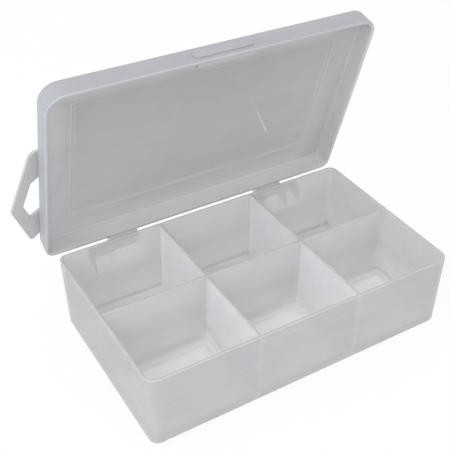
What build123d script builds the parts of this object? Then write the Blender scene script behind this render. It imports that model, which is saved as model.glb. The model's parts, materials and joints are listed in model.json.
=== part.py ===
from build123d import *
import os
from math import cos, radians, sin, tan

# Compartment storage box: a tray with moulded dividers, a lid on two pin hinges
# and a hang tab on a rivet. All sizes are in millimetres.
# X runs along the tray, the front wall faces -Y, Z is up and the tray stands on Z = 0.

# Two lengths closer than this count as equal
match_tolerance = 0.01

# Tray
tray_length = 170.0
tray_depth = 101.0
tray_height = 43.0
tray_wall = 1.6
tray_floor = 1.6
tray_draft = 1.6
tray_front_corner = 6.0
tray_back_corner = 4.6
tray_foot_round = 3.3
rim_chamfer = 0.25

# Pockets and the dividers between them
column_count = 3
row_count = 2
divider_thickness = 1.4
pocket_draft = 1.2
pocket_foot_chamfer = 2.0

# Lid
lid_side_gap = 1.0
lid_front_gap = 3.0
lid_back_gap = 1.4
lid_seat_gap = 0.3
lid_height = 11.0
lid_wall = 2.0
lid_top = 1.6
lid_draft = 2.6
lid_front_corner = 10.0
lid_back_corner = 5.0
lid_edge_round = 2.0
lid_inner_round = 0.8
lid_lip_chamfer = 0.4

# Raised field in the middle of the lid
field_margin = 16.0
field_slope = 2.0
field_rise = 0.6
field_corner = 1.5

# Front catch: a bead on the tray, a rib inside the lid and a thumb pad outside it
catch_length = 30.0
bead_height = 3.0
bead_rise = 0.35
rib_height = 1.2
rib_above_lip = 0.8
catch_play = 0.2
catch_gap = 0.1
thumb_length = 32.0
thumb_height = 4.4
thumb_rise = 0.4
thumb_above_lip = 2.6
feature_sink = 0.8

# Hinges: a knuckle on the lid, and outside it an ear on a pad of the tray's back wall
open_angle = 73.0
hinge_offset = 4.9
hinge_drop = 1.6
hinge_inset = 39.5
knuckle_width = 16.0
knuckle_radius = 2.7
knuckle_web_height = 5.0
ear_radius = 2.2
ear_width = 11.2
ear_drop = 7.5
ear_heel_drop = 5.0
ear_heel_round = 0.8
ear_side_gap = 0.3
ear_lip_gap = 0.4
ear_stop_gap = 0.3
ear_wall = 1.5
pad_rise = 1.0
pad_low = 23.5
pad_high = 40.0
pad_round = 1.5
pin_radius = 1.0
pin_running_gap = 0.06
pin_end_recess = 0.3
pin_chamfer = 0.25

# Hang tab, drawn from its pivot with its length running away from the pivot
tab_pivot_inset = 6.5
tab_pivot_shift = 3.5
tab_swing = 14.8
tab_width = 22.0
tab_thickness = 1.6
tab_top_end = 6.9
tab_shoulder = 33.9
tab_slant = 35.0
tab_return = 30.0
tab_apex_side = 5.0
tab_end_round = 4.5
tab_shoulder_round = 3.0
tab_apex_round = 1.6
tab_edge_chamfer = 0.25
tab_gap = 0.3
slot_start = 6.5
slot_length = 32.0
slot_width = 11.2
slot_round = 0.6

# Rivet that carries the hang tab
boss_radius = 4.4
boss_rise = 0.6
rivet_radius = 1.8
rivet_running_gap = 0.08
rivet_head_radius = 3.8
rivet_head_edge = 0.5
rivet_head_height = 1.2
rivet_bore_skin = 0.7

# Sizes worked out from the ones above
pocket_length = (tray_length - 2 * tray_wall - (column_count - 1) * divider_thickness) / column_count
pocket_depth = (tray_depth - 2 * tray_wall - (row_count - 1) * divider_thickness) / row_count
lid_length = tray_length + 2 * (lid_side_gap + lid_wall)
lid_depth = tray_depth + lid_front_gap + lid_back_gap + 2 * lid_wall
lid_back = tray_depth / 2 + lid_back_gap + lid_wall
lid_inner_height = lid_height - lid_top
lid_lip = tray_height + lid_seat_gap - lid_inner_height
hinge_y = lid_back + hinge_offset
hinge_z = lid_lip - hinge_drop
hinge_middle = tray_length / 2 - hinge_inset

# Levels and places in the lid's own frame, measured from the hinge axis
lip_level = hinge_drop
ceiling_level = lip_level + lid_inner_height
top_level = lip_level + lid_height
boss_level = top_level + boss_rise
rivet_start = ceiling_level + rivet_bore_skin
lid_middle = -hinge_offset - lid_depth / 2
lid_front = -hinge_offset - lid_depth
tab_level = boss_level + tab_gap
pivot_x = tab_pivot_inset - lid_length / 2
pivot_y = lid_middle - tab_pivot_shift

# The lid is drawn as it sits when closed, on a frame at the hinge axis, and the frame is
# turned back by the angle at which the lid stands open.
hinge_origin = (0, hinge_y, hinge_z)
lid_frame = Plane(origin=hinge_origin).rotated((-open_angle, 0, 0))
ear_section = Plane(origin=hinge_origin, x_dir=(0, 1, 0), z_dir=(1, 0, 0))
lid_section = Plane(origin=hinge_origin, x_dir=lid_frame.y_dir, z_dir=(1, 0, 0))
lid_up = Axis(hinge_origin, lid_frame.z_dir)


def span(side, start, width):
    """Low and high x of a stretch that starts a distance outward of one hinge's middle."""
    ends = (side * (hinge_middle + start), side * (hinge_middle + start + width))
    return min(ends), max(ends)


def rounded_plan(sketch, middle, length, depth, front_corner, back_corner):
    """A rectangle in a sketch, with one radius at its front corners and one at its back corners."""
    with Locations((0, middle)):
        Rectangle(length, depth)
    fillet(sketch.vertices().group_by(Axis.Y)[0], front_corner)
    fillet(sketch.vertices().group_by(Axis.Y)[-1], back_corner)


def level_edges(part, level):
    """Edges of a part that lie flat at one height."""
    low = part.edges().filter_by(lambda e: abs(e.bounding_box().min.Z - level) < match_tolerance)
    return low.filter_by(lambda e: abs(e.bounding_box().max.Z - level) < match_tolerance)


os.makedirs("parts", exist_ok=True)

# Tray: drafted tub, drafted pockets, catch bead, hinge pads and hinge ears
back_face = tray_depth / 2 - hinge_y
pad_face = back_face + pad_rise
ear_top = lip_level - ear_lip_gap
ear_heel = hinge_offset - ear_stop_gap
core_top = ear_top - ear_wall
core_heel = ear_heel - ear_wall
core_low = -ear_drop - ear_wall
bead_root = feature_sink - tray_depth / 2
bead_middle = lid_lip + rib_above_lip + rib_height + catch_play + bead_height / 2

with BuildPart() as storage_tray:
    with BuildSketch(Plane.XY.offset(tray_height)) as tray_plan:
        rounded_plan(tray_plan, 0, tray_length, tray_depth, tray_front_corner, tray_back_corner)
    extrude(amount=-tray_height, taper=tray_draft)
    fillet(storage_tray.faces().sort_by(Axis.Z)[0].edges(), tray_foot_round)

    # The pockets' upright corners are round in the tray's own corners and crisp at the dividers
    corner_reach = (tray_length + tray_depth) / 2 - 2 * tray_front_corner
    with BuildSketch(Plane.XY.offset(tray_height)) as pocket_plan:
        with GridLocations(
            pocket_length + divider_thickness, pocket_depth + divider_thickness, column_count, row_count
        ):
            Rectangle(pocket_length, pocket_depth)
        for turn, corner in ((-1, tray_front_corner), (1, tray_back_corner)):
            outer = pocket_plan.vertices().filter_by(lambda v: abs(v.X) + turn * v.Y > corner_reach)
            fillet(outer, corner - tray_wall)
    extrude(amount=tray_floor - tray_height, taper=pocket_draft, mode=Mode.SUBTRACT)
    chamfer(level_edges(storage_tray, tray_floor), pocket_foot_chamfer)
    chamfer(storage_tray.faces().sort_by(Axis.Z)[-1].edges(), rim_chamfer)

    # Catch bead near the top of the front wall, a shallow lens in section
    with BuildSketch(Plane.YZ.offset(-catch_length / 2)):
        with BuildLine():
            ThreePointArc(
                (bead_root, bead_middle - bead_height / 2),
                (-tray_depth / 2 - bead_rise, bead_middle),
                (bead_root, bead_middle + bead_height / 2),
            )
            Line((bead_root, bead_middle + bead_height / 2), (bead_root, bead_middle - bead_height / 2))
        make_face()
    extrude(amount=catch_length)

    for side in (-1, 1):
        # Pad that thickens the back wall behind the knuckle and the ear
        pad_start, pad_end = span(side, -knuckle_width / 2, knuckle_width + ear_side_gap + ear_width)
        with BuildSketch(Plane.XZ.offset(-tray_depth / 2 - pad_rise)) as pad:
            with Locations(((pad_start + pad_end) / 2, (pad_low + pad_high) / 2)):
                RectangleRounded(pad_end - pad_start, pad_high - pad_low, pad_round)
        extrude(amount=pad_rise + feature_sink)

        # Ear: an arm under the closed lid, a barrel and a heel that stops the open lid
        low, high = span(side, knuckle_width / 2 + ear_side_gap, ear_width)
        with BuildSketch(ear_section.offset(low)) as ear:
            Circle(ear_radius)
            with BuildLine():
                Polyline(
                    (back_face, ear_top),
                    (0, ear_top),
                    (ear_heel, -ear_heel_round),
                    (ear_heel, -ear_heel_drop),
                    (back_face, -ear_drop),
                    close=True,
                )
            make_face()
            fillet(ear.vertices().group_by(Axis.X)[-1], ear_heel_round)
        extrude(amount=high - low)

        # The ear is cored out from below, which leaves its walls even
        with BuildSketch(ear_section.offset(low + ear_wall)):
            with BuildLine():
                Polyline(
                    (pad_face, core_top),
                    (-ear_radius, core_top),
                    (core_heel, -ear_radius - ear_wall),
                    (core_heel, core_low),
                    (pad_face, core_low),
                    close=True,
                )
            make_face()
        extrude(amount=high - low - 2 * ear_wall, mode=Mode.SUBTRACT)

        # Pin bore
        with BuildSketch(ear_section.offset(low)):
            Circle(pin_radius)
        extrude(amount=high - low, mode=Mode.SUBTRACT)
storage_tray.part.label = "storage_tray"
export_step(storage_tray.part, "parts/storage_tray.step")

# Lid: drafted shell with a raised field, hinge knuckles, catch rib and thumb pad
field_length = lid_length - 2 * field_margin
field_depth = lid_depth - 2 * field_margin

with BuildPart() as lid:
    with BuildSketch(lid_frame.offset(lip_level)) as lid_plan:
        rounded_plan(lid_plan, lid_middle, lid_length, lid_depth, lid_front_corner, lid_back_corner)
    extrude(amount=lid_height, taper=lid_draft)
    fillet(lid.faces().sort_by(lid_up)[-1].edges(), lid_edge_round)
    with BuildSketch(lid_frame.offset(lip_level)) as hollow_plan:
        rounded_plan(
            hollow_plan,
            lid_middle,
            lid_length - 2 * lid_wall,
            lid_depth - 2 * lid_wall,
            lid_front_corner - lid_wall,
            lid_back_corner - lid_wall,
        )
    extrude(amount=lid_inner_height, taper=lid_draft, mode=Mode.SUBTRACT)
    fillet(lid.faces().filter_by(lid_up).sort_by(lid_up)[-2].edges(), lid_inner_round)
    chamfer(lid.faces().sort_by(lid_up)[0].edges(), lid_lip_chamfer)

    # Raised field: added outside and hollowed inside, with a sloped border
    for level, mode in ((top_level, Mode.ADD), (ceiling_level, Mode.SUBTRACT)):
        with BuildSketch(lid_frame.offset(level)):
            with Locations((0, lid_middle)):
                RectangleRounded(field_length, field_depth, field_corner + field_slope)
        with BuildSketch(lid_frame.offset(level + field_rise)):
            with Locations((0, lid_middle)):
                RectangleRounded(
                    field_length - 2 * field_slope, field_depth - 2 * field_slope, field_corner
                )
        loft(mode=mode)

    # Catch rib inside the front skirt, which reaches under the tray's bead
    rib_rise = lid_front_gap - bead_rise - catch_gap
    with BuildSketch(lid_frame.offset(lip_level + rib_above_lip)):
        with Locations((0, lid_front + lid_wall + (rib_rise - feature_sink) / 2)):
            Rectangle(catch_length, rib_rise + feature_sink)
    extrude(amount=rib_height)

    # Thumb pad outside the front skirt
    thumb_origin = lid_frame.from_local_coords((0, lid_front, lip_level + thumb_above_lip))
    thumb_plane = Plane(origin=thumb_origin, x_dir=(1, 0, 0), z_dir=lid_frame.y_dir.reverse())
    with BuildSketch(thumb_plane.offset(-feature_sink)):
        with Locations((0, thumb_height / 2)):
            SlotOverall(thumb_length, thumb_height)
    extrude(amount=feature_sink + thumb_rise)

    # Hinge knuckles, each with a web that runs up the back skirt
    for side in (-1, 1):
        knuckle_low = side * hinge_middle - knuckle_width / 2
        with BuildSketch(lid_section.offset(knuckle_low)):
            Circle(knuckle_radius)
            with Locations((-hinge_offset - feature_sink / 2, lip_level + knuckle_web_height / 2)):
                Rectangle(feature_sink, knuckle_web_height)
            make_hull()
        extrude(amount=knuckle_width)
        with BuildSketch(lid_section.offset(knuckle_low)):
            Circle(pin_radius + pin_running_gap)
        extrude(amount=knuckle_width, mode=Mode.SUBTRACT)

    # Boss with a blind bore for the hang tab's rivet, so that the lid's inside stays smooth
    with BuildSketch(lid_frame.offset(top_level - feature_sink)):
        with Locations((pivot_x, pivot_y)):
            Circle(boss_radius)
    extrude(amount=feature_sink + boss_rise)
    with BuildSketch(lid_frame.offset(rivet_start)):
        with Locations((pivot_x, pivot_y)):
            Circle(rivet_radius)
    extrude(amount=boss_level - rivet_start, mode=Mode.SUBTRACT)
lid.part.label = "lid"
export_step(lid.part, "parts/lid.step")

# Hinge pins: one in each ear, through the knuckle beside it
pin_length = knuckle_width + ear_side_gap + ear_width - 2 * pin_end_recess
for name, side in (("hinge_pin_left", -1), ("hinge_pin_right", 1)):
    pin_low, pin_high = span(side, pin_end_recess - knuckle_width / 2, pin_length)
    with BuildPart() as pin:
        with BuildSketch(ear_section.offset(pin_low)):
            Circle(pin_radius)
        extrude(amount=pin_high - pin_low)
        chamfer(pin.edges().filter_by(GeomType.CIRCLE), pin_chamfer)
    pin.part.label = name
    export_step(pin.part, "parts/" + name + ".step")

# Hang tab: a flat plate with one slanted end and a six-sided slot
tab_origin = lid_frame.from_local_coords((pivot_x, pivot_y, tab_level))
tab_run = lid_frame.y_dir * cos(radians(tab_swing)) - lid_frame.x_dir * sin(radians(tab_swing))
tab_frame = Plane(origin=tab_origin, x_dir=tab_run, z_dir=lid_frame.z_dir)
tab_side = tab_width / 2
tab_apex = tab_shoulder + (tab_side + tab_apex_side) / tan(radians(tab_slant))
tab_heel = tab_apex - (tab_side - tab_apex_side) / tan(radians(tab_return))
slot_side = slot_width / 2
slot_point = slot_side / tan(radians(tab_slant))
slot_end = slot_start + slot_length
tab_rounds = [tab_end_round, tab_end_round, tab_shoulder_round, tab_apex_round, tab_shoulder_round]

with BuildPart() as hang_tab:
    with BuildSketch(tab_frame):
        with BuildLine():
            FilletPolyline(
                (-tab_top_end, -tab_side),
                (-tab_top_end, tab_side),
                (tab_shoulder, tab_side),
                (tab_apex, -tab_apex_side),
                (tab_heel, -tab_side),
                radius=tab_rounds,
                close=True,
            )
        make_face()
        with BuildLine():
            FilletPolyline(
                (slot_start, 0),
                (slot_start + slot_point, slot_side),
                (slot_end - slot_point, slot_side),
                (slot_end, 0),
                (slot_end - slot_point, -slot_side),
                (slot_start + slot_point, -slot_side),
                radius=slot_round,
                close=True,
            )
        make_face(mode=Mode.SUBTRACT)
    extrude(amount=tab_thickness)
    tab_faces = hang_tab.faces().sort_by(lid_up)
    chamfer(tab_faces[0].edges() + tab_faces[-1].edges(), tab_edge_chamfer)
    with BuildSketch(tab_frame):
        Circle(rivet_radius + rivet_running_gap)
    extrude(amount=tab_thickness, mode=Mode.SUBTRACT)
hang_tab.part.label = "hang_tab"
export_step(hang_tab.part, "parts/hang_tab.step")

# Rivet: a shank pressed into the lid's boss, through the tab, and a domed head outside
head_start = tab_level + tab_thickness + tab_gap
head_top = head_start + rivet_head_height
rivet_base = lid_frame.from_local_coords((pivot_x, pivot_y, 0))
rivet_section = Plane(origin=rivet_base, x_dir=(1, 0, 0), z_dir=lid_frame.y_dir.reverse())

with BuildPart() as hang_tab_rivet:
    with BuildSketch(rivet_section):
        with BuildLine():
            Polyline(
                (0, head_top),
                (0, rivet_start),
                (rivet_radius, rivet_start),
                (rivet_radius, head_start),
                (rivet_head_radius, head_start),
                (rivet_head_radius, head_start + rivet_head_edge),
            )
            TangentArc(
                (0, head_top),
                (rivet_head_radius, head_start + rivet_head_edge),
                tangent=(1, 0),
            )
        make_face()
    revolve(axis=Axis(rivet_base, lid_frame.z_dir))
hang_tab_rivet.part.label = "hang_tab_rivet"
export_step(hang_tab_rivet.part, "parts/hang_tab_rivet.step")
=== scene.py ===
"""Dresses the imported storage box: frosted plastic, steel pins, a grey hang tab and a pale stage."""

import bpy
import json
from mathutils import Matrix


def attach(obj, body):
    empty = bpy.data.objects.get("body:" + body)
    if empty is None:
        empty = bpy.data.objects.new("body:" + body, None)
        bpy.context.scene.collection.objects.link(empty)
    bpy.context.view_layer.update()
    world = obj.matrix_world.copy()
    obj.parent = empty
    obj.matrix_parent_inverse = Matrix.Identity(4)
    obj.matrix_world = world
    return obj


bl_info = {
    "name": "Compartment Storage Box",
    "version": (1, 0, 0),
    "blender": (4, 5, 0),
    "location": "View3D > Sidebar > Storage Box",
    "description": "Finishes a moulded compartment box and sets up its studio stage",
    "category": "Object",
}

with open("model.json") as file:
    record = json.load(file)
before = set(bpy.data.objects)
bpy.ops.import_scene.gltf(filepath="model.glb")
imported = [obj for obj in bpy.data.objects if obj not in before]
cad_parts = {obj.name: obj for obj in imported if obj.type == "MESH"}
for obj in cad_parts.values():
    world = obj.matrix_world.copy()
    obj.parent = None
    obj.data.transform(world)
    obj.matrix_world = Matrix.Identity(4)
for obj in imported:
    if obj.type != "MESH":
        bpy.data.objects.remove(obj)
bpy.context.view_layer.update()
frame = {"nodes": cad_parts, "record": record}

import json
import math

import bpy
from bpy.props import FloatProperty, FloatVectorProperty, IntProperty, PointerProperty
from mathutils import Matrix, Vector

HINGE = next(joint for joint in frame["record"]["behaviour"]["joints"] if joint["name"] == "lid_hinge")
HINGE_PLACE = Vector(HINGE["pos_m"])
OPEN_ANGLE = math.radians(-HINGE["range_deg"][0])

# Shapes that the scene adds
SHARP_ANGLE = math.radians(40.0)
BEAD_SIDES = 12
BEAD_CORNER_STEPS = 8
FOOT_ARC_STEPS = 8
FOOT_CORNER_STEPS = 6
FOOT_SINK = 0.0002
MERGE_GAP = 0.00002
STORED = ("pocket_middle", "corner_turn", "side_signs", "inset", "rise")

# Tones pass into each other over twice the first width, and from one to the other of each pair
TONE_EDGE = 0.0003
EAR_EDGE = (0.0002, 0.0006)
RIM_EDGE = (0.0005, 0.0001)
PAD_EDGE = (0.0001, 0.0004)
KNUCKLE_EDGE = (0.0001, 0.0005)
LIP_EDGE = (0.0005, 0.0002)
# Length of the catch, at whose ends painted light lifts the shade
CATCH_LENGTH = 0.030
# A painted highlight streak across the lid's panel
STREAK_START = (0.0265, -0.0709)
STREAK_END = (0.0427, -0.0407)
STREAK_WIDTH = 0.0006
# Width of the painted highlight lines along the raised field's step
STEP_HIGHLIGHT_WIDTH = 0.0005
FLOW_STRETCH = (0.08, 1.0, 1.0)
MOULDED_IOR = 1.49

# Stage
FLOOR_REACH = 3.0
FLOOR_SHADE = 0.12
LAMP_SIZE = 0.6
LAMP_AIM = (0.0, 0.0, 0.05)
KEY_PLACE = (-0.8, -0.2, 0.7)
FILL_PLACE = (-0.1, -0.9, 0.5)
PHOTO_WIDTH = 450
SENSOR_WIDTH = 36.0


def metres(name, description, default):
    """A size that the user can set."""
    return FloatProperty(name=name, description=description, unit="LENGTH", default=default)


def degrees(name, description, value):
    """An angle that the user can set."""
    default = math.radians(value)
    return FloatProperty(name=name, description=description, subtype="ANGLE", default=default)


def portion(name, description, default):
    """A share from nought to one that the user can set."""
    return FloatProperty(name=name, description=description, default=default, min=0.0, max=1.0)


def rgb(name, description, default):
    """A colour that the user can set."""
    return FloatVectorProperty(name=name, description=description, subtype="COLOR", default=default)


class TraySizes(bpy.types.PropertyGroup):
    """Sizes of the tray that its beads and foot rounds follow."""

    length: metres("Length", "Tray from side to side at the rim", 0.170)
    depth: metres("Depth", "Tray from front to back at the rim", 0.101)
    height: metres("Height", "Tray from the table to the rim", 0.043)
    wall: metres("Wall", "Thickness of the outer walls at the rim", 0.0016)
    divider: metres("Divider", "Thickness of the dividers at the rim", 0.0014)
    floor: metres("Floor", "Thickness of the floor", 0.0016)
    front_corner: metres("Front corner", "Outer radius of the front corners", 0.006)
    back_corner: metres("Back corner", "Outer radius of the back corners", 0.0046)
    wall_draft: degrees("Wall draft", "Lean of the outer faces", 1.6)
    pocket_draft: degrees("Pocket draft", "Lean of the pocket faces", 1.2)
    columns: IntProperty(name="Columns", description="Pockets along the tray", default=3, min=1)
    rows: IntProperty(name="Rows", description="Pockets from front to back", default=2, min=1)
    foot_round: metres("Foot round", "Radius where a pocket's walls meet its floor", 0.0034)
    bead_width: metres("Bead width", "Width of the soft crown on the rims", 0.0011)
    bead_rise: metres("Bead rise", "Height of the soft crown on the rims", 0.00014)


class LidSizes(bpy.types.PropertyGroup):
    """Sizes of the lid that its lip bead and its tints follow, measured from the hinge axis."""

    length: metres("Length", "Lid from side to side at the lip", 0.176)
    depth: metres("Depth", "Lid from front to back at the lip", 0.1094)
    wall: metres("Wall", "Thickness of the skirt", 0.002)
    front_corner: metres("Front corner", "Outer radius of the front corners", 0.010)
    back_corner: metres("Back corner", "Outer radius of the back corners", 0.005)
    back: metres("Back", "Distance from the hinge axis to the lid's back", 0.0049)
    lip: metres("Lip", "Height of the lip over the hinge axis", 0.0016)
    ceiling: metres("Ceiling", "Height of the inside over the hinge axis", 0.011)
    border: metres("Border", "Width of the border round the raised field", 0.016)
    slope: metres("Slope", "Width of the slope at the raised field's edge", 0.002)
    bead_width: metres("Bead width", "Width of the soft crown on the lip", 0.0012)
    bead_rise: metres("Bead rise", "Height of the soft crown on the lip", 0.00014)


class FrostedPlasticLook(bpy.types.PropertyGroup):
    """Colour and finish of the tray's and the lid's frosted plastic, with tones that paint light and shade by
    place.
    """

    outer: rgb("Outer colour", "Tray's outer faces", (0.515, 0.52, 0.54))
    # Painted light: from here to the floor, tones lighter than the outer faces for the light in the pockets,
    # and paler at the foot against the shade there
    wall: rgb("Wall colour", "Inner faces of the tray's walls", (0.655, 0.66, 0.67))
    wall_foot_light: rgb("Wall foot colour", "Foot of the walls inside the pockets", (0.87, 0.875, 0.885))
    divider: rgb("Divider colour", "Faces of the cross dividers", (0.91, 0.92, 0.94))
    middle: rgb("Middle colour", "Faces of the lengthwise divider", (0.77, 0.775, 0.79))
    foot: rgb("Foot colour", "Foot of the dividers", (0.96, 0.965, 0.975))
    floor: rgb("Floor colour", "Floors of the pockets", (0.975, 0.98, 0.985))
    # Painted light: a paler band on the outer faces where a divider meets them
    junction_light: rgb("Junction colour", "Outer faces where a divider meets them", (0.535, 0.545, 0.56))
    rim: rgb("Rim colour", "Thin rims of the tray, where light gathers", (0.64, 0.65, 0.665))
    # Painted light on the ears, pads and knuckles, which stand in shade
    hinge: rgb("Hinge colour", "Ears, pads and knuckles", (0.90, 0.90, 0.91))
    skirt: rgb("Skirt colour", "Lid's skirt", (0.435, 0.445, 0.485))
    thumb_pad: rgb("Thumb pad colour", "Pad on the front of the skirt", (0.455, 0.465, 0.505))
    # Painted light on the lid's lip
    lip: rgb("Lip colour", "Lid's lip", (0.53, 0.55, 0.57))
    panel: rgb("Panel colour", "Lid's panel at its front", (0.42, 0.42, 0.42))
    # Painted light on the lid's inside: towards the hinges, towards the skirt, weaker along the right end,
    # and on the lining
    panel_foot_light: rgb("Panel foot colour", "Lid's panel near the hinges", (0.605, 0.605, 0.61))
    border: rgb("Border colour", "Inside of the lid, where panel and skirt meet", (0.73, 0.73, 0.74))
    right_border_light: rgb("Right border colour", "The same along the lid's right end", (0.60, 0.60, 0.605))
    lining_light: rgb("Lining colour", "Inner face of the lid's skirt, close to its lip", (0.56, 0.56, 0.57))
    back_lining_light: rgb(
        "Back lining colour", "Inner face and lip of the skirt at its back and right", (0.67, 0.67, 0.675)
    )
    # Painted highlight: a thin pale streak across the lid's panel
    highlight_streak: rgb("Scuff colour", "Thin scuff across the lid's panel", (0.90, 0.90, 0.90))
    # Painted highlight lines along the step of the raised field
    step: rgb("Step colour", "Fine lines along the step of the lid's raised field", (0.70, 0.70, 0.70))
    roughness: portion("Roughness", "Roughness of the moulded surface", 0.46)
    tray_opacity: portion("Tray opacity", "Share of light that one face of the tray holds back", 0.58)
    lid_opacity: portion("Lid opacity", "Share of light that one face of the lid holds back", 0.85)
    wave_length: metres("Wave length", "Width of the soft waves in the walls", 0.03)
    cloud_size: metres("Cloud size", "Width of the faint clouds in the plastic", 0.012)
    frost_grain: metres("Frost grain", "Size of the fine surface grain", 0.0004)


class TabLook(bpy.types.PropertyGroup):
    """Colour and finish of the grey hang tab and its rivet."""

    grey: rgb("Grey", "Colour of the tab", (0.52, 0.52, 0.525))
    roughness: portion("Roughness", "Roughness of the etched surface", 0.62)
    grain: metres("Grain", "Size of the etched grain", 0.0006)


class SteelLook(bpy.types.PropertyGroup):
    """Colour and finish of the hinge pins' drawn steel."""

    colour: rgb("Colour", "Colour of the steel", (0.62, 0.62, 0.63))
    grain: metres("Grain", "Size of the fine marks", 0.0003)
    smoothest: portion("Smoothest", "Roughness between the marks", 0.25)
    roughest: portion("Roughest", "Roughness on the marks", 0.4)


class StageLook(bpy.types.PropertyGroup):
    """Camera and light of the stage."""

    azimuth: degrees("Azimuth", "Turn of the camera about Z", 33.037)
    elevation: degrees("Elevation", "Height angle of the camera", 36.098)
    roll: degrees("Roll", "Roll of the camera", 1.5616)
    place: FloatVectorProperty(
        name="Place",
        description="Where the camera stands",
        unit="LENGTH",
        default=(-0.18506, -0.28410, 0.31039),
    )
    focal_pixels: FloatProperty(
        name="Focal length", description="Focal length in pixels of the frame", default=858.44
    )
    centre_x: FloatProperty(
        name="Centre x", description="Column of the frame that the lens points at", default=255.5
    )
    ambient: FloatProperty(name="Ambient", description="Strength of the even light", default=0.92)
    key: FloatProperty(name="Key", description="Power of the main soft box", default=3.4, unit="POWER")
    fill: FloatProperty(name="Fill", description="Power of the fill soft box", default=1.0, unit="POWER")


def new_material(name):
    """An empty node material, its tree and its output node."""
    material = bpy.data.materials.new(name)
    material.use_nodes = True
    tree = material.node_tree
    tree.nodes.clear()
    output = tree.nodes.new("ShaderNodeOutputMaterial")
    return material, tree, output


def add(tree, kind, inputs=None, **settings):
    """Adds a node, sets its properties, and sets or links its inputs."""
    node = tree.nodes.new(kind)
    for key, value in settings.items():
        setattr(node, key, value)
    for key, value in (inputs or {}).items():
        if isinstance(value, bpy.types.NodeSocket):
            tree.links.new(value, node.inputs[key])
        else:
            node.inputs[key].default_value = value
    return node


def math_node(tree, operation, first, second=0.0, third=0.0):
    """The result of one sum on numbers or sockets, the same in shaders and in geometry."""
    return add(tree, "ShaderNodeMath", {0: first, 1: second, 2: third}, operation=operation).outputs[0]


def ramp(tree, value, start, end, low=0.0, high=1.0):
    """Goes from low to high while the value goes from start to end."""
    names = {"Value": value, "From Min": start, "From Max": end, "To Min": low, "To Max": high}
    return add(tree, "ShaderNodeMapRange", names).outputs["Result"]


def blend_colour(tree, share, first, second):
    """First colour where the share is nought, second where it is one."""
    node = add(tree, "ShaderNodeMix", {"Factor": share}, data_type="RGBA")
    for name, value in (("A", first), ("B", second)):
        socket = next(item for item in node.inputs if item.name == name and item.type == "RGBA")
        if isinstance(value, bpy.types.NodeSocket):
            tree.links.new(value, socket)
        else:
            socket.default_value = (*value, 1.0)
    return next(item for item in node.outputs if item.type == "RGBA")


def noise(tree, size, detail=2.0, roughness=0.5, stretch=None):
    """Noise on Object coordinates whose features are about the given size in metres."""
    place = add(tree, "ShaderNodeTexCoord").outputs["Object"]
    if stretch is not None:
        place = add(tree, "ShaderNodeMapping", {"Vector": place, "Scale": stretch}).outputs["Vector"]
    names = {"Vector": place, "Scale": 1.0 / size, "Detail": detail, "Roughness": roughness}
    return add(tree, "ShaderNodeTexNoise", names).outputs["Fac"]


def bump(tree, height, distance, strength, normal=None):
    """A bump of the given height, laid over an earlier one if there is one."""
    names = {"Strength": strength, "Distance": distance, "Height": height}
    if normal is not None:
        names["Normal"] = normal
    return add(tree, "ShaderNodeBump", names).outputs["Normal"]


def spread(tree, value, low, high):
    """Maps noise about one half to the range from low to high."""
    return ramp(tree, value, 0.3, 0.7, low, high)


def place_parts(tree, turn=0.0, shift=(0.0, 0.0, 0.0)):
    """Object coordinates as three numbers, turned about X and shifted."""
    place = add(tree, "ShaderNodeTexCoord").outputs["Object"]
    names = {"Vector": place, "Rotation": (turn, 0.0, 0.0), "Location": shift}
    place = add(tree, "ShaderNodeMapping", names).outputs["Vector"]
    return add(tree, "ShaderNodeSeparateXYZ", {"Vector": place}).outputs


def depth_inside(tree, x, y, half_x, half_y, corner):
    """How far a place lies inside a rectangle with round corners, given about the rectangle's middle."""
    past = []
    for value, half in ((x, half_x), (y, half_y)):
        beyond = math_node(tree, "SUBTRACT", math_node(tree, "ABSOLUTE", value), half)
        past.append(math_node(tree, "ADD", beyond, corner))
    squares = [math_node(tree, "POWER", math_node(tree, "MAXIMUM", value, 0.0), 2.0) for value in past]
    within = math_node(tree, "MINIMUM", math_node(tree, "MAXIMUM", *past), 0.0)
    out = math_node(tree, "ADD", math_node(tree, "SQRT", math_node(tree, "ADD", *squares)), within)
    return math_node(tree, "SUBTRACT", corner, out)


def catch_end_light(tree, x):
    """One at both ends of the catch, where painted light lifts the shade of their end faces."""
    off = math_node(tree, "SUBTRACT", math_node(tree, "ABSOLUTE", x), CATCH_LENGTH / 2)
    return ramp(tree, math_node(tree, "ABSOLUTE", off), TONE_EDGE, TONE_EDGE / 3)


def junction_light_share(tree, x, sizes):
    """One on the outer faces where a cross divider meets them, for a band of painted light there."""
    step = (sizes.length - 2 * sizes.wall + sizes.divider) / sizes.columns
    half = step * sizes.columns / 2
    phase = math_node(tree, "ADD", math_node(tree, "WRAP", x, half, -half), half)
    phase = math_node(tree, "PINGPONG", phase, step / 2)
    near = ramp(tree, phase, sizes.divider * 1.3, sizes.divider * 0.6)
    last = step * (sizes.columns - 1) / 2
    away = ramp(tree, math_node(tree, "ABSOLUTE", x), last + step / 4, last)
    return math_node(tree, "MULTIPLY", near, away)


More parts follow.
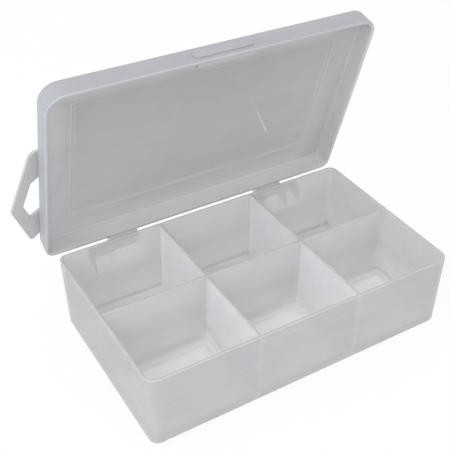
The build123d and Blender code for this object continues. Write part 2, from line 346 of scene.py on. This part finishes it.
def tray_tint(tree, plastic, sizes):
    """Outer faces in the plastic's own tone; inner faces of the walls, dividers, floor, rims and hinge ears
    in tones of painted light.
    """
    x, y, z = place_parts(tree)

    # Depth inside the middle of the wall, which narrows towards the table
    drop = math_node(tree, "SUBTRACT", sizes.height, z)
    lean = (math.tan(sizes.wall_draft) + math.tan(sizes.pocket_draft)) / 2
    narrowing = math_node(tree, "MULTIPLY", drop, lean)
    half_x, half_y = (
        math_node(tree, "SUBTRACT", (span - sizes.wall) / 2, narrowing)
        for span in (sizes.length, sizes.depth)
    )
    corner = (sizes.front_corner + sizes.back_corner - sizes.wall) / 2
    inside = depth_inside(tree, x, y, half_x, half_y, corner)

    # Pockets: walls, dividers and floor in tones of painted light, paler towards the foot to paint out the
    # shade there
    foot = ramp(tree, z, sizes.height / 2, sizes.floor + sizes.foot_round)
    wall = blend_colour(tree, foot, plastic.wall, plastic.wall_foot_light)
    middle = ramp(tree, math_node(tree, "ABSOLUTE", y), sizes.divider * 1.3, sizes.divider)
    divider = blend_colour(tree, middle, plastic.divider, plastic.middle)
    divider = blend_colour(tree, foot, divider, plastic.foot)
    tint = blend_colour(tree, ramp(tree, inside, sizes.wall * 0.625, sizes.wall), wall, divider)
    floor = ramp(tree, z, sizes.floor + sizes.foot_round / 2, sizes.floor)
    tint = blend_colour(tree, floor, tint, plastic.floor)

    # Outer faces, with a band of painted light at each cross divider and painted light on the catch's ends
    outer = blend_colour(tree, junction_light_share(tree, x, sizes), plastic.outer, plastic.junction_light)
    inside = math_node(tree, "MINIMUM", inside, math_node(tree, "SUBTRACT", z, sizes.floor / 2))
    face = -sizes.wall / 2
    proud = ramp(tree, inside, face - TONE_EDGE / 3, face - TONE_EDGE * 2 / 3)
    outer = blend_colour(tree, math_node(tree, "MULTIPLY", catch_end_light(tree, x), proud), outer, plastic.wall)
    tint = blend_colour(tree, ramp(tree, inside, -TONE_EDGE, TONE_EDGE), outer, tint)

    # Painted light on the ears and pads behind the back wall, where shade falls, then painted light on the
    # rim
    back = sizes.depth / 2
    ear_light = ramp(tree, y, *(back + edge for edge in EAR_EDGE))
    tint = blend_colour(tree, ear_light, tint, plastic.hinge)
    rim = ramp(tree, z, *(sizes.height - edge for edge in RIM_EDGE))
    return blend_colour(tree, rim, tint, plastic.rim)


def highlight_streak_share(tree, x, y):
    """A thin painted highlight streak on the panel that fades towards its start."""
    start, end = Vector(STREAK_START), Vector(STREAK_END)
    run, reach = (end - start).normalized(), (end - start).length
    reach_x = math_node(tree, "SUBTRACT", x, start.x)
    reach_y = math_node(tree, "SUBTRACT", y, start.y)
    along = math_node(tree, "MULTIPLY_ADD", reach_y, run.y, math_node(tree, "MULTIPLY", reach_x, run.x))
    aside = math_node(tree, "MULTIPLY_ADD", reach_y, -run.x, math_node(tree, "MULTIPLY", reach_x, run.y))
    width = ramp(tree, math_node(tree, "ABSOLUTE", aside), STREAK_WIDTH, STREAK_WIDTH / 3)
    strength = math_node(tree, "POWER", ramp(tree, along, 0.0, reach, 0.3, 0.95), 2.5)
    strength = math_node(tree, "MULTIPLY", strength, math_node(tree, "GREATER_THAN", along, 0.0))
    strength = math_node(tree, "MULTIPLY", strength, math_node(tree, "LESS_THAN", along, reach))
    return math_node(tree, "MULTIPLY", width, strength)


def lid_tint(tree, plastic, sizes):
    """A neutral panel with painted light towards the skirt and the hinges, a cool skirt and a lip pale with
    painted light.
    """
    turn = Matrix.Rotation(OPEN_ANGLE, 3, "X")
    x, y, z = place_parts(tree, OPEN_ANGLE, tuple(-(turn @ HINGE_PLACE)))

    # Depth inside the middle of the skirt
    along = math_node(tree, "SUBTRACT", y, -sizes.back - sizes.depth / 2)
    front = math_node(tree, "LESS_THAN", along, 0.0)
    corner = math_node(tree, "MULTIPLY_ADD", front, sizes.front_corner - sizes.back_corner, sizes.back_corner)
    corner = math_node(tree, "SUBTRACT", corner, sizes.wall / 2)
    half_x, half_y = ((span - sizes.wall) / 2 for span in (sizes.length, sizes.depth))
    inside = depth_inside(tree, x, along, half_x, half_y, corner)

    # Inner faces: the panel, with painted light towards the hinges, and painted light on its border and the
    # skirt's lining, weaker along the right end
    near = ramp(tree, along, -half_y, half_y)
    panel = blend_colour(tree, near, plastic.panel, plastic.panel_foot_light)
    right = ramp(tree, x, half_x - sizes.border * 1.3, half_x - sizes.border * 0.7)
    border_light = blend_colour(tree, right, plastic.border, plastic.right_border_light)
    deep = ramp(tree, z, sizes.lip + sizes.wall, sizes.ceiling - sizes.wall / 2)
    edge = blend_colour(tree, deep, plastic.lining_light, border_light)
    back, side = (
        ramp(tree, place, half - sizes.wall * 2, half - sizes.wall * 0.7)
        for place, half in ((along, half_y), (x, half_x))
    )
    back = math_node(tree, "MAXIMUM", back, side)
    edge = blend_colour(tree, back, edge, plastic.back_lining_light)
    tint = blend_colour(tree, ramp(tree, inside, sizes.border, sizes.wall / 2), panel, edge)

    # Painted light on the inner faces: a highlight streak, highlight lines along the raised field's step and
    # light on the catch's ends
    tint = blend_colour(tree, highlight_streak_share(tree, x, y), tint, plastic.highlight_streak)
    end = math_node(tree, "ABSOLUTE", x)
    end = ramp(tree, end, half_x - sizes.border * 1.3, half_x - sizes.border * 1.2)
    clear = math_node(tree, "MAXIMUM", end, ramp(tree, near, 0.0, 1.0, 0.3, 0.8))
    for distance, share in ((sizes.border, 0.45), (sizes.border + sizes.slope, 0.25)):
        off = math_node(tree, "SUBTRACT", inside, distance - sizes.wall / 2)
        line = ramp(
            tree, math_node(tree, "ABSOLUTE", off), STEP_HIGHLIGHT_WIDTH, STEP_HIGHLIGHT_WIDTH * 0.4, 0.0, share
        )
        tint = blend_colour(tree, math_node(tree, "MULTIPLY", line, clear), tint, plastic.step)
    proud = math_node(tree, "MULTIPLY", front, ramp(tree, inside, sizes.wall * 2, sizes.wall))
    ends = math_node(tree, "MULTIPLY", catch_end_light(tree, x), proud)
    tint = blend_colour(tree, ends, tint, plastic.lining_light)

    # Outer faces of the skirt and its thumb pad, then painted light on the knuckles and on the lip
    face = -sizes.wall / 2
    proud = ramp(tree, inside, *(face - edge for edge in PAD_EDGE))
    skirt = blend_colour(tree, proud, plastic.skirt, plastic.thumb_pad)
    tint = blend_colour(tree, ramp(tree, inside, -TONE_EDGE, TONE_EDGE), skirt, tint)
    knuckle_light = ramp(tree, y, *(-sizes.back + edge for edge in KNUCKLE_EDGE))
    tint = blend_colour(tree, knuckle_light, tint, plastic.hinge)
    lip = ramp(tree, z, *(sizes.lip + edge for edge in LIP_EDGE))
    lip = math_node(tree, "MULTIPLY", lip, math_node(tree, "SUBTRACT", 1.0, knuckle_light))
    return blend_colour(tree, lip, tint, blend_colour(tree, back, plastic.lip, plastic.back_lining_light))


def frosted_plastic(name, plastic, opacity, tint, sizes):
    """Milky polypropylene: soft gloss, see-through, gentle waves, faint clouds and a fine grain."""
    material, tree, output = new_material(name)
    waves = noise(tree, plastic.wave_length, detail=1.0)
    clouds = noise(tree, plastic.cloud_size, detail=3.0)
    flow = noise(tree, plastic.cloud_size / 4, detail=2.0, stretch=FLOW_STRETCH)
    grain = noise(tree, plastic.frost_grain, detail=1.0)
    base = tint(tree, plastic, sizes)
    value = math_node(tree, "MULTIPLY", spread(tree, clouds, 0.98, 1.02), spread(tree, flow, 0.98, 1.02))
    pale = add(tree, "ShaderNodeHueSaturation", {"Color": base, "Value": value})
    normal = bump(tree, waves, distance=plastic.wave_length / 30, strength=0.25)
    normal = bump(tree, grain, distance=plastic.frost_grain / 20, strength=0.2, normal=normal)
    names = {
        "Base Color": pale.outputs["Color"],
        "Roughness": spread(tree, waves, plastic.roughness - 0.05, plastic.roughness + 0.05),
        "IOR": MOULDED_IOR,
        "Alpha": opacity,
        "Normal": normal,
    }
    shader = add(tree, "ShaderNodeBsdfPrincipled", names)
    tree.links.new(shader.outputs["BSDF"], output.inputs["Surface"])
    return material


def etched_plastic(name, look):
    """Opaque grey plastic with an etched, stippled surface."""
    material, tree, output = new_material(name)
    stipple = noise(tree, look.grain, detail=3.0)
    names = {
        "Base Color": (*look.grey, 1.0),
        "Roughness": look.roughness,
        "Normal": bump(tree, stipple, distance=look.grain / 8, strength=0.6),
    }
    shader = add(tree, "ShaderNodeBsdfPrincipled", names)
    tree.links.new(shader.outputs["BSDF"], output.inputs["Surface"])
    return material


def drawn_steel(name, look):
    """Bright steel wire, drawn smooth."""
    material, tree, output = new_material(name)
    names = {
        "Base Color": (*look.colour, 1.0),
        "Metallic": 1.0,
        "Roughness": spread(tree, noise(tree, look.grain, detail=2.0), look.smoothest, look.roughest),
    }
    shader = add(tree, "ShaderNodeBsdfPrincipled", names)
    tree.links.new(shader.outputs["BSDF"], output.inputs["Surface"])
    return material


def dress(node, material):
    """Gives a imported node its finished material."""
    piece = frame["nodes"][node]
    piece.data.materials.clear()
    piece.data.materials.append(material)
    return piece


def geometry_tree(name, inputs):
    """A node group with one geometry output and the named inputs."""
    tree = bpy.data.node_groups.new(name, "GeometryNodeTree")
    tree.interface.new_socket("Geometry", in_out="OUTPUT", socket_type="NodeSocketGeometry")
    for title, kind in inputs:
        tree.interface.new_socket(title, in_out="INPUT", socket_type="NodeSocket" + kind)
    source = tree.nodes.new("NodeGroupInput")
    return tree, {title: source.outputs[title] for title, kind in inputs}


def close_tree(tree, geometry, material):
    """Ends a tree in plain geometry with its material on it."""
    real = add(tree, "GeometryNodeRealizeInstances", {0: geometry})
    dressed = add(tree, "GeometryNodeSetMaterial", {"Geometry": real.outputs[0], "Material": material})
    add(tree, "NodeGroupOutput", {0: dressed.outputs[0]})


def grown(name, tree, values):
    """A plain mesh object grown by a node group from the given values."""
    seed = bpy.data.objects.new(name + "_seed", bpy.data.meshes.new(name + "_seed"))
    bpy.context.scene.collection.objects.link(seed)
    modifier = seed.modifiers.new("growth", "NODES")
    modifier.node_group = tree
    for item in tree.interface.items_tree:
        if item.in_out == "INPUT":
            modifier[item.identifier] = values[item.name]
    graph = bpy.context.evaluated_depsgraph_get()
    mesh = bpy.data.meshes.new_from_object(seed.evaluated_get(graph))
    bpy.data.objects.remove(seed)
    if not mesh.polygons:
        raise RuntimeError(name + " grew no faces")
    for name_kept in STORED:
        if name_kept in mesh.attributes:
            mesh.attributes.remove(mesh.attributes[name_kept])
    mesh.name = name
    mesh.shade_smooth()
    mesh.set_sharp_from_angle(angle=SHARP_ANGLE)
    piece = bpy.data.objects.new(name, mesh)
    bpy.context.scene.collection.objects.link(piece)
    return piece


def combine(tree, x=0.0, y=0.0, z=0.0):
    """A vector from three numbers or sockets."""
    return add(tree, "ShaderNodeCombineXYZ", {0: x, 1: y, 2: z}).outputs[0]


def vector_node(tree, operation, first, second=None):
    """The result of one sum on vectors."""
    inputs = {0: first} if second is None else {0: first, 1: second}
    return add(tree, "ShaderNodeVectorMath", inputs, operation=operation).outputs[0]


def keep(tree, geometry, name, value, domain="POINT"):
    """Stores a vector on the geometry under a name."""
    names = {"Geometry": geometry, "Name": name, "Value": value}
    kind = "GeometryNodeStoreNamedAttribute"
    return add(tree, kind, names, data_type="FLOAT_VECTOR", domain=domain).outputs[0]


def kept(tree, name):
    """Reads a stored vector."""
    kind = "GeometryNodeInputNamedAttribute"
    return add(tree, kind, {"Name": name}, data_type="FLOAT_VECTOR").outputs[0]


def pick(tree, test, otherwise, chosen):
    """One of two numbers."""
    return add(tree, "GeometryNodeSwitch", {0: test, 1: otherwise, 2: chosen}, input_type="FLOAT").outputs[0]


def named_sizes(sizes, *names):
    """Sizes of a property group under the names that a node group gives them."""
    return {name: getattr(sizes, name.lower().replace(" ", "_")) for name in names}


def rounded_corner(tree, spot, given):
    """Outer radius of the corner that a place lies at."""
    back = math_node(tree, "LESS_THAN", spot["Y"], 0.0)
    return pick(tree, back, given["Back Corner"], given["Front Corner"])


def pitch(tree, whole, divider, count):
    """Distance from one pocket's middle to the next."""
    return math_node(tree, "DIVIDE", math_node(tree, "ADD", whole, divider), count)


def bead_tree():
    """A soft crown that follows a rounded loop and the dividers across it."""
    inputs = (
        ("Length", "Float"), ("Depth", "Float"), ("Wall", "Float"), ("Divider", "Float"),
        ("Front Corner", "Float"), ("Back Corner", "Float"), ("Columns", "Int"), ("Rows", "Int"),
        ("Bead Width", "Float"), ("Bead Rise", "Float"), ("Place", "Vector"), ("Turn", "Vector"),
        ("Material", "Material"),
    )
    tree, given = geometry_tree("crown_beads", inputs)
    inner = {name: math_node(tree, "SUBTRACT", given[name], given["Wall"]) for name in ("Length", "Depth")}
    names = {"Width": inner["Length"], "Height": inner["Depth"]}
    loop = add(tree, "GeometryNodeCurvePrimitiveQuadrilateral", names).outputs[0]
    here = add(tree, "GeometryNodeInputPosition").outputs[0]
    spot = add(tree, "ShaderNodeSeparateXYZ", {0: here}).outputs
    half_wall = math_node(tree, "MULTIPLY", given["Wall"], 0.5)
    radius = math_node(tree, "SUBTRACT", rounded_corner(tree, spot, given), half_wall)
    names = {"Curve": loop, "Count": BEAD_CORNER_STEPS, "Radius": radius}
    loop = add(tree, "GeometryNodeFilletCurve", names, mode="POLY").outputs[0]
    paths = [loop]
    for along, count, line in (("Length", "Columns", "Depth"), ("Depth", "Rows", "Length")):
        clear = math_node(tree, "SUBTRACT", inner[along], given["Wall"])
        step = pitch(tree, clear, given["Divider"], given[count])
        start = math_node(tree, "MULTIPLY", step, math_node(tree, "MULTIPLY_ADD", given[count], -0.5, 1.0))
        axes = (1, 0) if along == "Length" else (0, 1)
        first = combine(tree, *(start if axis else 0.0 for axis in axes))
        offset = combine(tree, *(step if axis else 0.0 for axis in axes))
        dividers = math_node(tree, "SUBTRACT", given[count], 1.0)
        names = {"Count": dividers, "Start Location": first, "Offset": offset}
        posts = add(tree, "GeometryNodeMeshLine", names).outputs[0]
        half = math_node(tree, "MULTIPLY", inner[line], 0.5)
        back = math_node(tree, "MULTIPLY", inner[line], -0.5)
        ends = [combine(tree, *(0.0 if axis else value for axis in axes)) for value in (back, half)]
        rail = add(tree, "GeometryNodeCurvePrimitiveLine", {"Start": ends[0], "End": ends[1]}).outputs[0]
        rails = add(tree, "GeometryNodeInstanceOnPoints", {"Points": posts, "Instance": rail}).outputs[0]
        paths.append(add(tree, "GeometryNodeRealizeInstances", {0: rails}).outputs[0])
    joined = tree.nodes.new("GeometryNodeJoinGeometry")
    for path in paths:
        tree.links.new(path, joined.inputs[0])
    upright = add(tree, "GeometryNodeSetCurveNormal", {"Curve": joined.outputs[0]}, mode="Z_UP")
    names = {"Resolution": BEAD_SIDES, "Radius": 0.5}
    ring = add(tree, "GeometryNodeCurvePrimitiveCircle", names).outputs[0]
    flat = combine(tree, given["Bead Width"], math_node(tree, "MULTIPLY", given["Bead Rise"], 2.0), 1.0)
    section = add(tree, "GeometryNodeTransform", {"Geometry": ring, "Scale": flat}).outputs[0]
    names = {"Curve": upright.outputs[0], "Profile Curve": section, "Fill Caps": True}
    beads = add(tree, "GeometryNodeCurveToMesh", names).outputs[0]
    names = {"Geometry": beads, "Translation": given["Place"], "Rotation": given["Turn"]}
    moved = add(tree, "GeometryNodeTransform", names).outputs[0]
    close_tree(tree, moved, given["Material"])
    return tree


def foot_tree():
    """Rounds along the foot of every pocket, one closed ring to a pocket."""
    inputs = (
        ("Length", "Float"), ("Depth", "Float"), ("Height", "Float"), ("Wall", "Float"), ("Divider", "Float"),
        ("Floor", "Float"), ("Front Corner", "Float"), ("Back Corner", "Float"), ("Columns", "Int"),
        ("Rows", "Int"), ("Draft Slope", "Float"), ("Foot Round", "Float"), ("Sink", "Float"),
        ("Material", "Material"),
    )
    tree, given = geometry_tree("pocket_foot_rounds", inputs)
    drop = math_node(tree, "SUBTRACT", given["Height"], given["Floor"])
    narrowing = math_node(tree, "MULTIPLY", drop, given["Draft Slope"])
    steps, halves = [], []
    for name, count in (("Length", "Columns"), ("Depth", "Rows")):
        clear = math_node(tree, "MULTIPLY_ADD", given["Wall"], -2.0, given[name])
        step = pitch(tree, clear, given["Divider"], given[count])
        whole = math_node(tree, "SUBTRACT", step, given["Divider"])
        steps.append(step)
        halves.append(math_node(tree, "SUBTRACT", math_node(tree, "MULTIPLY", whole, 0.5), narrowing))
    half = combine(tree, *halves)

    # A rectangle for each pocket
    spans = [
        math_node(tree, "MULTIPLY", step, math_node(tree, "SUBTRACT", given[count], 1.0))
        for step, count in zip(steps, ("Columns", "Rows"))
    ]
    counts = {"Vertices X": given["Columns"], "Vertices Y": given["Rows"]}
    names = {"Size X": spans[0], "Size Y": spans[1], **counts}
    middles = add(tree, "GeometryNodeMeshGrid", names).outputs[0]
    here = add(tree, "GeometryNodeInputPosition").outputs[0]
    middles = keep(tree, middles, "pocket_middle", here)
    names = {key: math_node(tree, "MULTIPLY", value, 2.0) for key, value in zip(("Width", "Height"), halves)}
    plan = add(tree, "GeometryNodeCurvePrimitiveQuadrilateral", names).outputs[0]
    plans = add(tree, "GeometryNodeInstanceOnPoints", {"Points": middles, "Instance": plan}).outputs[0]
    plans = add(tree, "GeometryNodeRealizeInstances", {0: plans}).outputs[0]

    # Only the corners that lie in the tray's own corners are round in plan
    spot = add(tree, "ShaderNodeSeparateXYZ", {0: here}).outputs
    reach = [math_node(tree, "MULTIPLY", span, 0.5) for span in spans]
    beyond = [
        math_node(tree, "GREATER_THAN", math_node(tree, "ABSOLUTE", spot[axis]), reach[axis])
        for axis in (0, 1)
    ]
    corner = math_node(tree, "SUBTRACT", rounded_corner(tree, spot, given), given["Wall"])
    corner = math_node(tree, "SUBTRACT", corner, narrowing)
    radius = math_node(tree, "MULTIPLY", corner, math_node(tree, "MULTIPLY", *beyond))
    local = vector_node(tree, "SUBTRACT", here, kept(tree, "pocket_middle"))
    plans = keep(tree, plans, "side_signs", vector_node(tree, "SIGN", local))
    plans = keep(tree, plans, "corner_turn", combine(tree, radius, radius))
    names = {"Curve": plans, "Count": FOOT_CORNER_STEPS, "Radius": radius}
    loops = add(tree, "GeometryNodeFilletCurve", names, mode="POLY").outputs[0]
    folded = vector_node(tree, "ABSOLUTE", local)
    centre = vector_node(tree, "SUBTRACT", half, kept(tree, "corner_turn"))
    safe = vector_node(tree, "MAXIMUM", kept(tree, "corner_turn"), (1e-6, 1e-6, 1.0))
    outward = vector_node(tree, "DIVIDE", vector_node(tree, "SUBTRACT", folded, centre), safe)
    loops = keep(tree, loops, "corner_turn", outward)
    loops = keep(tree, loops, "inset", folded)

    # Section: a quarter round between wall and floor, closed behind them
    names = {"Resolution": FOOT_ARC_STEPS + 4, "Radius": 0.001}
    ring = add(tree, "GeometryNodeCurvePrimitiveCircle", names).outputs[0]
    index = add(tree, "GeometryNodeInputIndex").outputs[0]
    swing = math_node(tree, "MULTIPLY", index, math.pi / 2 / FOOT_ARC_STEPS)
    sunk = math_node(tree, "MULTIPLY", given["Sink"], -1.0)
    after = math_node(tree, "GREATER_THAN", index, FOOT_ARC_STEPS + 0.5)
    parts = []
    for turn, last in (("COSINE", FOOT_ARC_STEPS + 1), ("SINE", FOOT_ARC_STEPS + 3)):
        curve = math_node(tree, "SUBTRACT", 1.0, math_node(tree, turn, swing))
        curve = math_node(tree, "MULTIPLY", curve, given["Foot Round"])
        edge = math_node(tree, "COMPARE", index, last, 0.5)
        hidden = pick(tree, edge, sunk, given["Foot Round"])
        parts.append(pick(tree, after, curve, hidden))
    shear = math_node(tree, "MULTIPLY", parts[1], given["Draft Slope"])
    parts[0] = math_node(tree, "SUBTRACT", parts[0], shear)
    ring = keep(tree, ring, "rise", combine(tree, *parts))
    swept = add(tree, "GeometryNodeCurveToMesh", {"Curve": loops, "Profile Curve": ring}).outputs[0]

    # Every point goes to its own inset from the pocket's wall, and stops at the mitre of a sharp corner
    moved = add(tree, "ShaderNodeSeparateXYZ", {0: kept(tree, "rise")}).outputs
    inset = combine(tree, moved["X"], moved["X"])
    stepped = vector_node(tree, "MULTIPLY", kept(tree, "corner_turn"), inset)
    free = vector_node(tree, "SUBTRACT", kept(tree, "inset"), stepped)
    mitre = vector_node(tree, "SUBTRACT", half, inset)
    flat = vector_node(tree, "MULTIPLY", vector_node(tree, "MINIMUM", free, mitre), kept(tree, "side_signs"))
    level = math_node(tree, "ADD", moved["Y"], given["Floor"])
    flat = vector_node(tree, "MULTIPLY", flat, (1.0, 1.0, 0.0))
    final = vector_node(tree, "ADD", flat, kept(tree, "pocket_middle"))
    final = vector_node(tree, "ADD", final, combine(tree, z=level))
    placed = add(tree, "GeometryNodeSetPosition", {"Geometry": swept, "Position": final}).outputs[0]
    merged = add(tree, "GeometryNodeMergeByDistance", {"Geometry": placed, "Distance": MERGE_GAP}).outputs[0]
    turned = add(tree, "GeometryNodeFlipFaces", {0: merged}).outputs[0]
    close_tree(tree, turned, given["Material"])
    return tree


class BOX_OT_finish_shells(bpy.types.Operator):
    """Give the tray and the lid their frosted plastic"""

    bl_idname = "storage_box.finish_shells"
    bl_label = "Finish Tray and Lid"

    def execute(self, context):
        scene, look = context.scene, context.scene.box_plastic
        tray = frosted_plastic("tray_plastic", look, look.tray_opacity, tray_tint, scene.box_tray)
        lid = frosted_plastic("lid_plastic", look, look.lid_opacity, lid_tint, scene.box_lid)
        dress("storage_tray", tray)
        dress("lid", lid)
        return {"FINISHED"}


class BOX_OT_add_foot_rounds(bpy.types.Operator):
    """Round the foot of every pocket, where its walls run into the floor"""

    bl_idname = "storage_box.add_foot_rounds"
    bl_label = "Round Pocket Feet"

    def execute(self, context):
        sizes = context.scene.box_tray
        values = {
            **named_sizes(sizes, "Length", "Depth", "Height", "Wall", "Divider", "Floor", "Foot Round"),
            **named_sizes(sizes, "Front Corner", "Back Corner", "Columns", "Rows"),
            "Draft Slope": math.tan(sizes.pocket_draft),
            "Sink": FOOT_SINK,
            "Material": bpy.data.materials["tray_plastic"],
        }
        rounds = grown("pocket_foot_rounds", foot_tree(), values)
        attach(rounds, "tray")
        return {"FINISHED"}


class BOX_OT_add_beads(bpy.types.Operator):
    """Crown the tray's rim, its dividers and the lid's lip with soft beads"""

    bl_idname = "storage_box.add_beads"
    bl_label = "Add Crown Beads"

    def execute(self, context):
        tree = bead_tree()
        tray, lid = context.scene.box_tray, context.scene.box_lid
        turn = Matrix.Rotation(-OPEN_ANGLE, 3, "X")
        lip = Vector((0.0, -lid.back - lid.depth / 2, lid.lip))
        pieces = (
            ("tray_rim_crown", "tray", tray, tray.columns, tray.rows, Vector((0.0, 0.0, tray.height)), 0.0),
            ("lid_lip_crown", "lid", lid, 1, 1, HINGE_PLACE + turn @ lip, -OPEN_ANGLE),
        )
        for name, body, sizes, columns, rows, place, tilt in pieces:
            values = {
                **named_sizes(sizes, "Length", "Depth", "Wall", "Front Corner", "Back Corner"),
                **named_sizes(sizes, "Bead Width", "Bead Rise"),
                "Divider": tray.divider,
                "Columns": columns,
                "Rows": rows,
                "Place": place,
                "Turn": (tilt, 0.0, 0.0),
                "Material": bpy.data.materials[body + "_plastic"],
            }
            crown = grown(name, tree, values)
            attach(crown, body)
        return {"FINISHED"}


class BOX_OT_finish_pins(bpy.types.Operator):
    """Give the hinge pins their drawn steel"""

    bl_idname = "storage_box.finish_pins"
    bl_label = "Finish Hinge Pins"

    def execute(self, context):
        material = drawn_steel("pin_steel", context.scene.box_steel)
        for side in ("left", "right"):
            dress("hinge_pin_" + side, material)
        return {"FINISHED"}


class BOX_OT_finish_tab(bpy.types.Operator):
    """Give the hang tab and its rivet their etched grey plastic"""

    bl_idname = "storage_box.finish_tab"
    bl_label = "Finish Hang Tab"

    def execute(self, context):
        material = etched_plastic("grey_plastic", context.scene.box_tab)
        dress("hang_tab", material)
        dress("hang_tab_rivet", material)
        return {"FINISHED"}


def seen_directly(tree):
    """One for rays of the camera and for those that shiny or clear surfaces send on."""
    path = add(tree, "ShaderNodeLightPath").outputs
    shiny = math_node(tree, "MAXIMUM", path["Is Glossy Ray"], path["Is Transmission Ray"])
    return math_node(tree, "MAXIMUM", path["Is Camera Ray"], shiny)


def backdrop_material(name, shade_share):
    """White to the camera and in reflections, with a share of its real shade left so that shadows stay."""
    material, tree, output = new_material(name)
    diffuse = add(tree, "ShaderNodeBsdfDiffuse", {"Color": (0.92, 0.92, 0.92, 1.0)})
    glow = add(tree, "ShaderNodeEmission", {"Strength": 1.0})
    share = math_node(tree, "MULTIPLY", seen_directly(tree), 1.0 - shade_share)
    mix = add(tree, "ShaderNodeMixShader", {0: share, 1: diffuse.outputs[0], 2: glow.outputs[0]})
    tree.links.new(mix.outputs["Shader"], output.inputs["Surface"])
    return material


def soft_box(name, place, power):
    """A square area light at a place, turned towards the box."""
    data = bpy.data.lights.new(name, "AREA")
    data.shape = "SQUARE"
    data.size = LAMP_SIZE
    data.energy = power
    lamp = bpy.data.objects.new(name, data)
    bpy.context.scene.collection.objects.link(lamp)
    lamp.location = place
    lamp.rotation_euler = (Vector(LAMP_AIM) - Vector(place)).to_track_quat("-Z", "Y").to_euler()


def build_floor(scene):
    """A wide pale floor on which the tray stands."""
    mesh = bpy.data.meshes.new("floor")
    signs = ((-1, -1), (1, -1), (1, 1), (-1, 1))
    mesh.from_pydata([(x * FLOOR_REACH, y * FLOOR_REACH, 0.0) for x, y in signs], [], [(0, 1, 2, 3)])
    mesh.materials.append(backdrop_material("pale_floor", FLOOR_SHADE))
    floor = bpy.data.objects.new("floor", mesh)
    scene.collection.objects.link(floor)


def build_world(scene, look):
    """Even light all round, and white where the camera or a shiny surface looks past the floor."""
    world = bpy.data.worlds.new("studio")
    scene.world = world
    world.use_nodes = True
    tree = world.node_tree
    tree.nodes.clear()
    white = (1.0, 1.0, 1.0, 1.0)
    light = add(tree, "ShaderNodeBackground", {"Color": white, "Strength": look.ambient})
    backdrop = add(tree, "ShaderNodeBackground", {"Color": white, "Strength": 1.0})
    seen = seen_directly(tree)
    mix = add(tree, "ShaderNodeMixShader", {0: seen, 1: light.outputs[0], 2: backdrop.outputs[0]})
    add(tree, "ShaderNodeOutputWorld", {"Surface": mix.outputs[0]})


def build_camera(scene, look):
    """The camera of the photograph, from its turn, height angle and roll."""
    data = bpy.data.cameras.new("camera")
    data.sensor_width = SENSOR_WIDTH
    data.lens = look.focal_pixels * SENSOR_WIDTH / PHOTO_WIDTH
    data.shift_x = 0.5 - look.centre_x / PHOTO_WIDTH
    camera = bpy.data.objects.new("camera", data)
    scene.collection.objects.link(camera)
    level_reach = math.cos(look.elevation)
    forward = Vector(
        (
            math.sin(look.azimuth) * level_reach,
            math.cos(look.azimuth) * level_reach,
            -math.sin(look.elevation),
        )
    )
    level = forward.cross(Vector((0, 0, 1))).normalized()
    upright = level.cross(forward)
    right = math.cos(look.roll) * level + math.sin(look.roll) * upright
    up = -math.sin(look.roll) * level + math.cos(look.roll) * upright
    turn = Matrix((right, up, -forward)).transposed().to_4x4()
    camera.matrix_world = Matrix.Translation(look.place) @ turn
    scene.camera = camera


class BOX_OT_build_stage(bpy.types.Operator):
    """Build the pale floor, the soft light and the camera"""

    bl_idname = "storage_box.build_stage"
    bl_label = "Build Stage"

    def execute(self, context):
        scene, look = context.scene, context.scene.box_stage
        build_floor(scene)
        soft_box("key_light", KEY_PLACE, look.key)
        soft_box("fill_light", FILL_PLACE, look.fill)
        build_world(scene, look)
        build_camera(scene, look)
        scene.view_settings.view_transform = "Standard"
        return {"FINISHED"}


class BOX_PT_sidebar(bpy.types.Panel):
    """Lists the steps and the looks of the box"""

    bl_idname = "BOX_PT_sidebar"
    bl_label = "Storage Box"
    bl_space_type = "VIEW_3D"
    bl_region_type = "UI"
    bl_category = "Storage Box"

    def draw(self, context):
        for operator in OPERATORS:
            self.layout.operator(operator.bl_idname)
        for name in LOOKS:
            group = getattr(context.scene, name)
            for key in group.bl_rna.properties.keys():
                if key not in ("rna_type", "name"):
                    self.layout.prop(group, key)


OPERATORS = (
    BOX_OT_finish_shells,
    BOX_OT_add_foot_rounds,
    BOX_OT_add_beads,
    BOX_OT_finish_pins,
    BOX_OT_finish_tab,
    BOX_OT_build_stage,
)
LOOKS = {
    "box_tray": TraySizes,
    "box_lid": LidSizes,
    "box_plastic": FrostedPlasticLook,
    "box_tab": TabLook,
    "box_steel": SteelLook,
    "box_stage": StageLook,
}
CLASSES = (*LOOKS.values(), *OPERATORS, BOX_PT_sidebar)


def register():
    for cls in CLASSES:
        bpy.utils.register_class(cls)
    for name, group in LOOKS.items():
        setattr(bpy.types.Scene, name, PointerProperty(type=group))


def unregister():
    for name in LOOKS:
        delattr(bpy.types.Scene, name)
    for cls in reversed(CLASSES):
        bpy.utils.unregister_class(cls)


def main():
    register()
    for operator in OPERATORS:
        group, step = operator.bl_idname.split(".")
        getattr(getattr(bpy.ops, group), step)()


if __name__ == "__main__":
    main()
